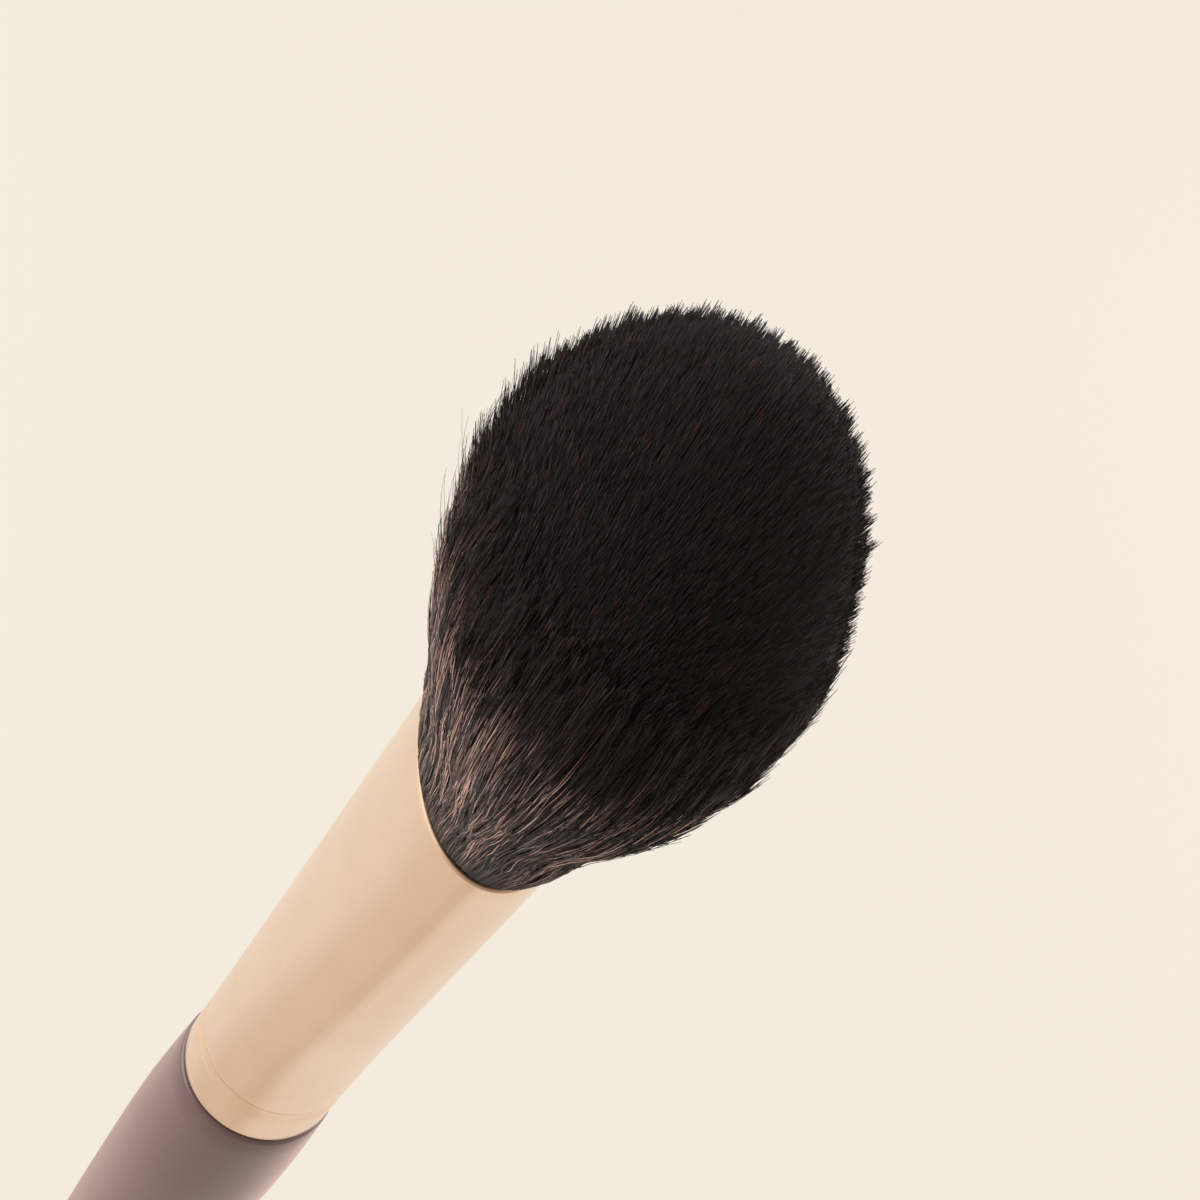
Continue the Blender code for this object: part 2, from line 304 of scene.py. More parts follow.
def makeHandle():
    mesh = spunMesh("grip", handleProfile(), handle["around"])
    finishPiece("grip", mesh, lacquerFinish(), "handle")
    mesh.set_sharp_from_angle(angle=math.radians(handle["sharpAngle"]))
    print("handle turned")


# Ferrule: a drawn tube, round at the foot and oval at the mouth

ferrule = {
    "baseRadius": 0.00645,
    "mouthHalfWidth": 0.011,
    "mouthHalfDepth": 0.0062,
    "wall": 0.0004,
    "bandLength": 0.0065,  # the straight part at the foot
    "bowShare": 0.34,  # how far the flare bulges past a straight cone
    "softShare": 0.16,  # of the flare's length, over which it starts
    "crimpHeight": 0.0042,
    "crimpWidth": 0.0022,
    "crimpDepth": 0.00026,
    "lipTurn": 0.00016,  # how far the mouth is turned in
    "lipLength": 0.0012,
    "edgeRound": 0.00018,
    "mouthEdgeFade": (0.00025, 0.0001),  # depths under the mouth between which the darker, rougher edge starts
    "around": 144,
    "footSteps": 4,
    "crimpSteps": 10,
    "bandSteps": 3,
    "flareSteps": 34,
    "lipSteps": 5,
    "roundSteps": 6,
    "shades": ((0.845, 0.643, 0.488, 1), (0.875, 0.682, 0.53, 1)),  # of the metal, in slow clouds
    "lineShade": (0.77, 0.56, 0.40, 1),
    "lineShare": 0.16,
    "mouthEdgeShade": (0.42, 0.29, 0.2, 1),
    "roughness": 0.24,
    "lineRoughness": 0.03,  # and what the lines, the clouds and the darker edge at the mouth add to it
    "cloudRoughness": 0.04,
    "mouthEdgeRoughness": 0.3,
}


def ferruleAxes(height, inset=0.0):
    # half width and half depth of the outside, less an inset, at a height above the foot
    length = mouth - foot
    run = np.clip((height - ferrule["bandLength"]) / (length - ferrule["bandLength"]), 0, 1)
    soft = ferrule["softShare"]
    eased = np.where(run < soft, run**2 / (2 * soft), run - soft / 2) / (1 - soft / 2)
    grown = eased * (1 + ferrule["bowShare"] * (1 - eased))
    lip = np.maximum(0, height - (length - ferrule["lipLength"])) / ferrule["lipLength"]
    off = np.clip(np.abs(height - ferrule["crimpHeight"]) / (ferrule["crimpWidth"] / 2), 0, 1)
    dip = ferrule["lipTurn"] * lip**2 + ferrule["crimpDepth"] * (1 + np.cos(math.pi * off)) / 2
    base = ferrule["baseRadius"]
    halfWidth = base + (ferrule["mouthHalfWidth"] - base) * grown - dip - inset
    halfDepth = base + (ferrule["mouthHalfDepth"] - base) * grown - dip - inset
    return halfWidth, halfDepth


def ferruleHeights():
    # from the foot, through the crimp, the band and the flare, to the mouth
    length = mouth - foot
    crimpLow = ferrule["crimpHeight"] - ferrule["crimpWidth"] / 2
    crimpHigh = crimpLow + ferrule["crimpWidth"]
    lipStart = length - ferrule["lipLength"]
    heights = spread(ferrule["edgeRound"], crimpLow, ferrule["footSteps"])
    heights += spread(crimpLow, crimpHigh, ferrule["crimpSteps"])[1:]
    heights += spread(crimpHigh, ferrule["bandLength"], ferrule["bandSteps"])[1:]
    heights += spread(ferrule["bandLength"], lipStart, ferrule["flareSteps"])[1:]
    heights += spread(lipStart, length - ferrule["edgeRound"], ferrule["lipSteps"])[1:]
    return heights


def roundOver(height, turn):
    # stations over an edge of the tube, from its outside to its inside, at the mouth or the foot
    stations = []
    ease = ferrule["edgeRound"]
    halfWall = ferrule["wall"] / 2
    halfWidth, halfDepth = ferruleAxes(height - turn * ease, halfWall)
    for angle in spread(0, math.pi, ferrule["roundSteps"])[1:-1]:
        out = halfWall * math.cos(angle)
        lift = turn * ease * (math.sin(angle) - 1)
        stations.append((halfWidth + out, halfDepth + out, foot + height + lift))
    return stations


def makeFerrule():
    heights = ferruleHeights()
    wall = ferrule["wall"]
    stations = [(*ferruleAxes(height), foot + height) for height in heights]
    stations += roundOver(mouth - foot, 1)
    stations += [(*ferruleAxes(height, wall), foot + height) for height in reversed(heights)]
    stations += reversed(roundOver(0, -1))
    bm = bmesh.new()
    first, last = ovalSkin(bm, stations, ferrule["around"])
    bmesh.ops.bridge_loops(bm, edges=first + last)
    mesh = meshFrom(bm, "drawn_ferrule")
    finishPiece("drawn_ferrule", mesh, metalFinish(), "ferrule")
    print("ferrule drawn")


def metalFinish():
    # champagne anodised aluminium, satin, with faint drawing lines up its length and a darker, rougher edge
    # at the mouth
    material, shader, wire = newMaterial("champagne_metal", {"Metallic": 1.0})
    place = objectPlace(wire)
    height = wire.node("ShaderNodeSeparateXYZ", None, {"Vector": place}, output=2)
    mouthEdgeStart, mouthEdgeEnd = ferrule["mouthEdgeFade"]
    # darker and rougher at the very mouth
    cut = height.stepped(mouth - mouthEdgeStart, mouth - mouthEdgeEnd)
    drawn = wire.stretched(place, (1, 1, 0.008))
    lines = wire.noise(drawn, scale=2600.0, detail=3.0, roughness=0.6)
    clouds = wire.noise(place, scale=130.0, detail=3.0)
    shade = wire.mixed(clouds.stepped(0.3, 0.7), *ferrule["shades"])
    shade = wire.mixed(lines * ferrule["lineShare"], shade, ferrule["lineShade"])
    shade = wire.mixed(cut, shade, ferrule["mouthEdgeShade"])
    wire.plug(shader, "Base Color", shade)
    rough = ferrule["roughness"] + lines * ferrule["lineRoughness"]
    rough = rough + clouds * ferrule["cloudRoughness"] + cut * ferrule["mouthEdgeRoughness"]
    wire.plug(shader, "Roughness", rough)
    wire.plug(shader, "Normal", bumped(wire, lines, strength=0.008, distance=0.00002))
    return material


# Hair: every strand stands in a unit disc that is stretched over the oval of each height

hair = {
    "seed": 11,
    "flareWidth": 0.0178,  # how far the outermost strands lean out over the length of the head
    "flareDepth": 0.0158,
    "softShare": 0.008,  # of the head's length, over which they start to lean
    "bulge": 0.00068,  # how far the hair swells over the lip
    "bulgeHeight": 0.0009,
    "bulgeEnd": 0.009,
    "rimShare": 0.24,  # of the head's length, where the outermost tips are
    "domePower": 1.4,
    "domeCurve": 0.54,
    "bendShare": 0.03,  # how softly a strand bends in where it meets the dome
    "thinAzimuth": 60,  # degrees from +X towards +Y, where the head is a little flatter
    "thinShare": 0.06,
    "leftShare": 0.022,  # how much flatter it is on the -Y side
    "strands": 50000,
    "clumps": 2400,
    "placeJitter": 0.45,
    "strandRadius": 0.000032,
    "crownThick": 1.3,  # how much thicker the strands are that only show their tips
    "tipShare": 0.42,  # of the strand's radius
    "tipLength": 0.003,
    "rootDepth": 0.0034,
    "sideFrom": 0.88,  # radius on the disc past which a strand shows along its whole length
    "middleFrom": 0.66,
    "middleLength": 0.015,  # how much is made of the other strands past that radius, and of the rest
    "crownLength": 0.009,
    "sideCuts": (0.08, 0.12, 0.16, 0.25, 0.34, 0.43, 0.52, 0.61, 0.7, 0.79, 0.88, 0.95),
    "lipCut": 0.08,  # the cuts that lie at the lip and at the top of the swell over it
    "swellCut": 0.16,
    "crownCuts": (0.45, 0.8),
    "shortfall": 0.0004,  # how far the average tip stays under the dome
    "clumpUneven": 0.00022,
    "strandUneven": 0.00015,
    "clumpPoint": 0.0004,  # how much shorter the outer strands of a clump are
    "middleLoose": 0.08,  # how loose the middle of the crown is, where 1 is the rim
    "looseFrom": 0.58,
    "looseEase": 0.27,
    "sameTone": 0.28,  # share of a clump's strands that have its tone
    "shadedSideDulling": 1.3,  # how much rarer light strands are where the head is flatter, which is turned from the key lamp: painted shade
    "dullCrown": 1.3,  # how much rarer in the middle of the crown
    "litSidePaling": 0.52,  # how much more common on the -Y side, which the key lamp lights: painted light
    "tipShades": (  # from the darkest strands to the lightest
        (0.0, (0.0165, 0.0128, 0.0151)),
        (0.7, (0.0218, 0.0152, 0.0172)),
        (0.88, (0.035, 0.0212, 0.0215)),
        (1.0, (0.115, 0.05, 0.043)),
    ),
    # grey and pinkish brown strand tones, made lighter towards the root as a painted sheen
    "rootShadesAndSheen": (
        (0.0, (0.024, 0.021, 0.021)),
        (0.4, (0.074, 0.064, 0.064)),
        (0.66, (0.162, 0.143, 0.144)),
        (0.78, (0.35, 0.24, 0.214)),
        (1.0, (0.74, 0.48, 0.42)),
    ),
    "tipFade": (0.253, 0.428),  # shares of the head's length between which the lighter roots, with their painted sheen, turn to the dark tips
    "tipLag": 0.19,  # how much higher that is on the lightest strands
    "meanShade": (0.098, 0.082, 0.08, 1),  # what all strands come nearer to towards the ferrule
    "meanFade": (0.02, 0.25),
    "leastContrast": 0.38,
    "rimShadow": (0.22, 0.22, 0.22, 1),  # a painted shadow that dims them where they come out of the ferrule
    "rimShadowFade": (0.0, 0.08),
    "roughness": 0.62,
    "toneRoughness": 0.1,
    "pieces": 6,
    # where the outline is calm and where tufts break it up, in places on the unit disc
    "tufts": {
        "frontAzimuth": -5,  # the side where the outer strands lie on over the dome
        "frontFrom": -0.1,  # cosine of the angle at which it starts
        "frontEase": 0.5,
        "frontLift": (-0.014, 0.008),
        "frontCalm": 0.15,  # how much less loose it is
        "frontPart": 0.45,  # how much less its clumps draw together at their tips
        "overrun": 0.0085,
        "overrunFrom": 0.62,
        "overrunShared": 0.6,  # share of it that a clump's strands have in common
        "backDrop": 0.0001,  # how much lower the tips are on the -X side
        "backDropFrom": 0.05,
        "backDropEase": 0.35,
        "tuftFrom": 0.52,
        "tuftEase": 0.16,
        "tuftLift": (-0.024, 0.02),  # how far a tuft's tips stand off the dome
        "strandLift": (-0.01, 0.012),
        "loose": 1.5,
        "uneven": 1.3,  # how much more uneven and pointed the tufts are
        "point": 3.4,
        "farAzimuth": 150,  # the side where the tips are uneven right up to the crown
        "farLead": 0.4,  # how much nearer the middle the tufts start there
        "farCalm": 0.5,
        "farCalmFrom": -0.1,
        "farCalmEase": 0.35,
        "crownShare": 0.42,  # how strong they are on the crown
        "crownEase": 0.14,
    },
    # how the strands draw together, wave and lean. Wavelengths are given divided by a full turn
    "sways": {
        "gatherSide": 0.3,  # how far a clump's strands draw together along the side
        "gatherHeight": 0.006,
        "gatherCrown": 0.05,  # and in the crown
        "crownFrom": 0.011,
        "crownEase": 0.01,
        "gatherTip": 0.45,  # and at the tips
        "gatherLength": 0.0018,
        "liftLength": 0.003,
        "thinHeight": 0.01,
        "loftLength": 0.011,
        "leastRadius": 0.3,  # keeps the strands near the axis from being drawn far
        "freeHeight": 0.0045,  # height by which the waves have grown
        "calmAbove": 0.018,  # and by which they have mostly died away
        "calmShare": 0.8,
        "groupReach": 0.00013,
        "groupWaves": 4,
        "groupTurns": 9,
        "groupLengths": (0.0018, 0.003),
        "clumpReach": 0.0001,
        "clumpLengths": (0.0014, 0.0012),
        "strayReach": 0.0001,
        "strayLengthsX": (0.0011, 0.0005),
        "strayLengthsY": (0.001, 0.00047),
        "fineShare": 0.6,
        "lean": 0.05,  # sideways slope of a strand's last stretch, at random
        "leanLength": 0.006,
    },
}


def headAxes(height):
    # half width and half depth of the oval that carries the strands, at a height above the mouth
    halfWidth, halfDepth = ferruleAxes(mouth - foot + np.minimum(height, 0), ferrule["wall"])
    rise = np.maximum(height, 0) / headLength
    soft = hair["softShare"]
    lean = (np.hypot(rise, soft) - soft) / (math.hypot(1, soft) - soft)
    swell = smooth(height / hair["bulgeHeight"]) * (1 - smooth(height / hair["bulgeEnd"]))
    bulge = hair["bulge"] * swell
    return halfWidth + bulge + hair["flareWidth"] * lean, halfDepth + bulge + hair["flareDepth"] * lean


def domeHeight(radius):
    # height of the dome of tips above the mouth, at a radius on the disc
    rim = hair["rimShare"] * headLength
    return rim + (headLength - rim) * (1 - np.minimum(radius, 1) ** hair["domePower"]) ** hair["domeCurve"]


def domeRadius(height):
    # and its radius at a height
    rim = hair["rimShare"] * headLength
    share = np.clip((height - rim) / (headLength - rim), 0, 1)
    return (1 - share ** (1 / hair["domeCurve"])) ** (1 / hair["domePower"])


def unitStrand(cuts):
    # a three-sided hair, one long and one in radius. Gives its points and its triangles
    bm = bmesh.new()
    bmesh.ops.create_cone(
        bm, cap_ends=True, segments=3, radius1=1, radius2=1, depth=1,
        matrix=Matrix.Translation((0, 0, 0.5)),
    )
    for cut in cuts:
        whole = bm.verts[:] + bm.edges[:] + bm.faces[:]
        bmesh.ops.bisect_plane(bm, geom=whole, plane_co=(0, 0, cut), plane_no=(0, 0, 1))
    bmesh.ops.triangulate(bm, faces=bm.faces)
    bm.verts.index_update()
    points = np.array([vert.co[:] for vert in bm.verts])
    faces = np.array([[vert.index for vert in face.verts] for face in bm.faces])
    bm.free()
    return points, faces


def sunflower(count, loose, rng):
    # even places on the unit disc, each moved at random by up to a share of the distance between them
    index = np.arange(count)
    radius = np.sqrt((index + 0.5) / count)
    angle = index * math.pi * (3 - math.sqrt(5))
    jitter = rng.uniform(-loose, loose, (2, count)) * math.sqrt(math.pi / count)
    x, y = radius * np.cos(angle) + jitter[0], radius * np.sin(angle) + jitter[1]
    over = np.maximum(np.hypot(x, y), 1)
    return x / over, y / over


def nearest(count, x, y, clumpX, clumpY):
    # which clump each strand belongs to
    tree = KDTree(count)
    for index in range(count):
        tree.insert((clumpX[index], clumpY[index], 0), index)
    tree.balance()
    return np.array([tree.find((across, through, 0))[1] for across, through in zip(x, y)])


def tuftShare(radius, away, front):
    # how far each strand is part of a tuft: all round behind the front, and on the far side up to the crown
    tufts = hair["tufts"]
    start = radius + tufts["farLead"] * away - tufts["tuftFrom"]
    behind = (1 - front) * smooth(start / tufts["tuftEase"])
    calmed = 1 - tufts["farCalm"] * smooth((away - tufts["farCalmFrom"]) / tufts["farCalmEase"])
    crown = tufts["crownShare"] * smooth((radius + away - tufts["tuftFrom"]) / tufts["crownEase"])
    return np.maximum(behind * calmed, crown)


def layOut():
    # the strands' places on the disc, their clumps, tones and lengths
    tufts = hair["tufts"]
    rng = np.random.default_rng(hair["seed"])
    total, count = hair["strands"], hair["clumps"]
    x, y = sunflower(total, hair["placeJitter"], rng)
    clumpX, clumpY = sunflower(count, hair["placeJitter"], rng)
    owner = nearest(count, x, y, clumpX, clumpY)
    share = np.hypot(x - clumpX[owner], y - clumpY[owner]) / math.sqrt(1 / count)
    radius, azimuth = np.hypot(x, y), np.arctan2(y, x)
    leftward = np.maximum(-y, 0)
    thinner = np.maximum(np.cos(azimuth - math.radians(hair["thinAzimuth"])), 0) ** 2
    facing = np.cos(azimuth - math.radians(tufts["frontAzimuth"]))
    front = smooth((facing - tufts["frontFrom"]) / tufts["frontEase"])
    farAzimuth = math.radians(tufts["farAzimuth"])
    wild = tuftShare(radius, x * math.cos(farAzimuth) + y * math.sin(farAzimuth), front)
    rimward = smooth((radius - hair["looseFrom"]) / hair["looseEase"])
    outer = hair["middleLoose"] + (1 - hair["middleLoose"]) * rimward
    loose = np.maximum(outer * (1 - tufts["frontCalm"] * front), wild * tufts["loose"])
    duller = hair["dullCrown"] * (1 - np.minimum(np.maximum(outer, wild * tufts["loose"]), 1))
    # fewer light strands on the side turned from the key lamp and more on the -Y side that it lights:
    # painted shade and painted light
    duller = hair["shadedSideDulling"] * thinner - hair["litSidePaling"] * leftward**3 + duller
    same = rng.uniform(0, 1, total) < hair["sameTone"]
    tone = np.where(same, rng.uniform(0, 1, count)[owner], rng.uniform(0, 1, total))
    lay = {
        "clumpX": clumpX[owner],
        "clumpY": clumpY[owner],
        "offX": x - clumpX[owner],
        "offY": y - clumpY[owner],
        "phase": rng.uniform(0, 2 * math.pi, (4, count))[:, owner],
        "ownPhase": rng.uniform(0, 2 * math.pi, (2, total)),
        "tone": tone ** (1 + duller),
        "turn": rng.uniform(0, 2 * math.pi, total),
        "radius": radius,
        "loft": np.zeros(total),
        "thick": np.where(radius > hair["sideFrom"], 1, hair["crownThick"]),
        "thin": hair["thinShare"] * thinner + hair["leftShare"] * leftward**2,
        "loose": loose,
        "gathered": loose * (1 - tufts["frontPart"] * front),
    }
    lay["lift"] = front * rng.uniform(*tufts["frontLift"], total)
    tuftLift = rng.uniform(*tufts["tuftLift"], count)[owner]
    lay["lift"] += wild * (tuftLift + rng.uniform(*tufts["strandLift"], total))
    uneven = rng.normal(0, hair["clumpUneven"], count)[owner] + rng.normal(0, hair["strandUneven"], total)
    uneven = uneven * (loose + tufts["uneven"] * wild)
    point = hair["clumpPoint"] * (loose + tufts["point"] * wild) * (share**2 - 0.5)
    lay["length"] = domeHeight(radius) - hair["shortfall"] + uneven - point
    lay["clear"] = wild * (lay["length"] - domeHeight(radius) + hair["shortfall"])
    lay["length"] -= tufts["backDrop"] * smooth((-x - tufts["backDropFrom"]) / tufts["backDropEase"])
    reach = smooth((radius - tufts["overrunFrom"]) / (1 - tufts["overrunFrom"]))
    over = rng.uniform(0, tufts["overrunShared"], count)[owner]
    over = over + rng.uniform(0, 1 - tufts["overrunShared"], total)
    lay["length"] += tufts["overrun"] * reach * over * front
    return lay


def groupSway(lay, height, seed):
    # a slow wave that neighbouring clumps share
    sways = hair["sways"]
    rng = np.random.default_rng(seed)
    total = 0
    for _ in range(sways["groupWaves"]):
        across, through = rng.uniform(-sways["groupTurns"], sways["groupTurns"], 2)
        shift = rng.uniform(0, 2 * math.pi)
        wave = across * lay["clumpX"] + through * lay["clumpY"] + shift
        total = total + np.sin(wave + height / rng.uniform(*sways["groupLengths"]))
    return total / math.sqrt(sways["groupWaves"])


def straySway(height, lengths, first, second):
    # a strand's own slow wave, with a finer one on it
    slow, fine = lengths
    return np.sin(height / slow + first) + hair["sways"]["fineShare"] * np.sin(height / fine + second)


def strandLine(lay, height):
    # where each strand runs at its heights, given as (strands, points)
    sways = hair["sways"]
    lay = {label: values[..., None] for label, values in lay.items()}
    halfWidth, halfDepth = headAxes(height)
    above = np.maximum(height, 0)
    fromTip = lay["length"] - height
    crown = smooth((above - sways["crownFrom"]) / sways["crownEase"])
    gather = sways["gatherSide"] * smooth(above / sways["gatherHeight"]) * (1 - crown)
    gather = gather + sways["gatherCrown"] * crown
    gather = gather + sways["gatherTip"] * lay["gathered"] * smooth(1 - fromTip / sways["gatherLength"])
    edge = domeRadius(height - lay["clear"]) + lay["lift"] * smooth(1 - fromTip / sways["liftLength"])
    past = lay["radius"] - edge
    past = (past + np.hypot(past, hair["bendShare"])) / 2
    draw = 1 - past / np.maximum(lay["radius"], sways["leastRadius"])
    draw = draw - lay["thin"] * smooth(above / sways["thinHeight"])
    draw = draw + lay["loft"] * smooth(1 - fromTip / sways["loftLength"])
    x = (lay["clumpX"] + lay["offX"] * (1 - gather)) * draw * halfWidth
    y = (lay["clumpY"] + lay["offY"] * (1 - gather)) * draw * halfDepth
    phase, own = lay["phase"], lay["ownPhase"]
    calm = 1 - sways["calmShare"] * smooth(above / sways["calmAbove"])
    free = smooth(above / sways["freeHeight"]) * calm
    x = x + free * sways["groupReach"] * groupSway(lay, above, 1)
    y = y + free * sways["groupReach"] * groupSway(lay, above, 2)
    x = x + free * sways["clumpReach"] * np.sin(above / sways["clumpLengths"][0] + phase[0])
    y = y + free * sways["clumpReach"] * np.sin(above / sways["clumpLengths"][1] + phase[1])
    x = x + free * sways["strayReach"] * straySway(above, sways["strayLengthsX"], own[0], own[1])
    y = y + free * sways["strayReach"] * straySway(above, sways["strayLengthsY"], own[1], own[0])
    slope = sways["lean"] * lay["loose"] * np.maximum(sways["leanLength"] - fromTip, 0)
    slope = slope * np.minimum(above / sways["leanLength"], 1)
    x = x + slope * (np.sin(own[0]) + np.sin(phase[2]))
    y = y + slope * (np.sin(own[1]) + np.sin(phase[3]))
    return x, y


def strandHeights(lay, along):
    # heights of a strand's cuts. A strand that starts in the ferrule has its first ones at the lip
    start, length = lay["start"][:, None], lay["length"][:, None]
    lip, swell = hair["lipCut"], hair["swellCut"]
    below = start * (1 - along / lip)
    around = hair["bulgeHeight"] * (along - lip) / (swell - lip)
    above = hair["bulgeHeight"] + (length - hair["bulgeHeight"]) * (along - swell) / (1 - swell)
    whole = np.where(along < lip, below, np.where(along < swell, around, above))
    return np.where(start < 0, whole, start + (length - start) * along)


def plantStrands(name, lay, material, cuts):
    # one mesh of many strands, with each strand's tone and each point's rise as attributes
    points, faces = unitStrand(cuts)
    count, corners = len(lay["tone"]), len(points)
    height = strandHeights(lay, points[:, 2])
    x, y = strandLine(lay, height)
    taper = np.clip((lay["length"][:, None] - height) / hair["tipLength"], 0, 1)
    tapered = hair["strandRadius"] * (hair["tipShare"] + (1 - hair["tipShare"]) * taper)
    thick = tapered * lay["thick"][:, None]
    turn = np.arctan2(points[:, 1], points[:, 0])[None, :] + lay["turn"][:, None]
    verts = np.stack([x + thick * np.cos(turn), y + thick * np.sin(turn), mouth + height], axis=2)
    allFaces = (faces[None] + (np.arange(count) * corners)[:, None, None]).reshape(-1, 3)
    mesh = bpy.data.meshes.new(name)
    mesh.from_pydata(verts.reshape(-1, 3), [], allFaces.tolist())
    tone = np.repeat(lay["tone"], corners)
    rise = np.clip(height / headLength, 0, 1).ravel()
    for label, values in (("tone", tone), ("rise", rise)):
        attribute = mesh.attributes.new(label, "FLOAT", "POINT")
        attribute.data.foreach_set("value", values.astype(np.float32))
    bakeMap = mesh.uv_layers.new(name="OFBake")  # a map over tone and rise
    corner = allFaces.ravel()
    places = np.stack([tone[corner], rise[corner]], 1)
    bakeMap.uv.foreach_set("vector", places.astype(np.float32).ravel())
    finishPiece(name, mesh, material, "hair_bundle")


strays = {
    "count": 640,
    "from": 0.9,
    "scatter": 0.6,  # how loosely they keep to the -Y side
    "longer": (-0.001, 0.0045),
    "loft": 0.035,  # how far they stand off at most, as a share of the head
    "loose": (0.3, 0.9),
    "thick": 0.6,
    "crossing": 0.16,  # share of them that lie askew over the rest
    "crossingLoft": 0.6,
    "crossingLoose": 2,
}


def strayLay(lay):
    # finer hairs that stand off a little from the rest, most of them on the -Y side
    rng = np.random.default_rng(hair["seed"] + 1)
    facing = -lay["clumpY"] + rng.normal(0, strays["scatter"], len(lay["tone"]))
    chosen = np.argsort(np.where(lay["radius"] > strays["from"], facing, -np.inf))[-strays["count"]:]
    stray = picked(lay, chosen)
    count = len(chosen)
    crossing = rng.uniform(0, 1, count) < strays["crossing"]
    stray["length"] = stray["length"] + rng.uniform(*strays["longer"], count)
    stray["loft"] = rng.uniform(0, strays["loft"], count) * np.where(crossing, strays["crossingLoft"], 1)
    stray["loose"] = rng.uniform(*strays["loose"], count) + np.where(crossing, strays["crossingLoose"], 0)
    stray["gathered"] = stray["loose"]
    stray["thick"] = np.full(count, strays["thick"])
    return stray


def picked(lay, chosen):
    # the same values for some of the strands
    return {label: values[..., chosen] for label, values in lay.items()}


def fibreFinish():
    # dark fibre: near black at the tips, with grey and pinkish brown strands towards the root, lightened
    # there as a painted sheen and dimmed at the ferrule as a painted shadow
    material, shader, wire = newMaterial("dark_fibre", {
        "IOR": 1.55,
        "Specular IOR Level": 0.19,
    })
    tone = wire.node("ShaderNodeAttribute", {"attribute_name": "tone"}, output=2)
    rise = wire.node("ShaderNodeAttribute", {"attribute_name": "rise"}, output=2)
    least = hair["leastContrast"]
    contrast = rise.stepped(*hair["meanFade"]) * (1 - least) + least
    # root tones, lightened as a painted sheen from the side light
    roots = wire.mixed(contrast, hair["meanShade"], wire.ramp(tone, hair["rootShadesAndSheen"]))
    # painted shadow on the strands where they come out of the ferrule
    rim = wire.mixed(rise.stepped(*hair["rimShadowFade"]), hair["rimShadow"], (1, 1, 1, 1))
    roots = wire.mixed(1.0, roots, rim, "MULTIPLY")
    faded = (rise - tone * hair["tipLag"]).stepped(*hair["tipFade"])
    wire.plug(shader, "Base Color", wire.mixed(faded, roots, wire.ramp(tone, hair["tipShades"])))
    wire.plug(shader, "Roughness", hair["roughness"] + tone * hair["toneRoughness"])
    return material


core = {
    "sink": 0.0019,  # how far it stays under the tips
    "topRadius": 0.03,  # places on the unit disc, of the flat on its top and of its side
    "sideRadius": 0.84,
    "foot": -0.0029,  # height of its lower end from the mouth
    "around": 96,
    "domeSteps": 22,
    "sideSteps": 16,
    # darker than the darkest strand: painted shade of the inside of the head
    "shades": ((0.009, 0.0075, 0.0085, 1), (0.0165, 0.0135, 0.015, 1)),
}


def coreStation(radius, height):
    halfWidth, halfDepth = headAxes(height)
    return float(halfWidth) * radius, float(halfDepth) * radius, mouth + height


def coreSkin():
    # a solid of packed fibre a little under the tips, so that no light gets through the head; it is darker
    # than the strands, as painted shade deep in the head
    side = core["sideRadius"]
    stations = []
    for radius in spread(core["topRadius"], side, core["domeSteps"]):
        stations.append(coreStation(radius, float(domeHeight(radius)) - core["sink"]))
    shoulder = float(domeHeight(side)) - core["sink"]
    for height in spread(shoulder, core["foot"], core["sideSteps"])[1:]:
        stations.append(coreStation(side, height))
    bm = bmesh.new()
    first, last = ovalSkin(bm, stations, core["around"])
    bmesh.ops.contextual_create(bm, geom=first)
    bmesh.ops.contextual_create(bm, geom=last)
    return meshFrom(bm, "hair_core")


def coreFinish():
    # near black, darker than the strands themselves as painted shade of the deep packed fibre, with faint
    # streaks along the fibre
    material, shader, wire = newMaterial("packed_fibre_painted_shade", {"Roughness": 0.9, "Specular IOR Level": 0.1})
    place = objectPlace(wire)
    streaks = wire.noise(wire.stretched(place, (1, 1, 0.08)), scale=3000.0)
    wire.plug(shader, "Base Color", wire.mixed(streaks.stepped(0.35, 0.65), *core["shades"]))
    wire.plug(shader, "Normal", bumped(wire, streaks, strength=0.5, distance=0.0001))
    return material


def makeHair():
    # the strands at the rim start inside the ferrule, and of the others only the upper part is made
    material = fibreFinish()
    lay = layOut()
    side = lay["radius"] > hair["sideFrom"]
    made = np.where(lay["radius"] > hair["middleFrom"], hair["middleLength"], hair["crownLength"])
    lay["start"] = np.where(side, -hair["rootDepth"], np.maximum(lay["length"] - made, -hair["rootDepth"]))
    turned = np.arctan2(lay["clumpY"], lay["clumpX"]) / (2 * math.pi) % 1
    sector = np.floor(turned * hair["pieces"])
    for part in range(hair["pieces"]):
        here = sector == part
        plantStrands(f"hair_side_{part + 1}", picked(lay, side & here), material, hair["sideCuts"])
        plantStrands(f"hair_crown_{part + 1}", picked(lay, ~side & here), material, hair["crownCuts"])
    plantStrands("stray_hairs", strayLay(lay), material, hair["sideCuts"])
    finishPiece("hair_core", coreSkin(), coreFinish(), "hair_bundle")
    print("hair planted:", len(lay["tone"]), "strands")


# Inside the ferrule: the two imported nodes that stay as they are

resin = {
    "shades": ((0.07, 0.035, 0.02, 1), (0.12, 0.07, 0.042, 1)),
    "roughness": 0.22,
    "cloudRoughness": 0.2,
    "pitHeight": 0.4,
}


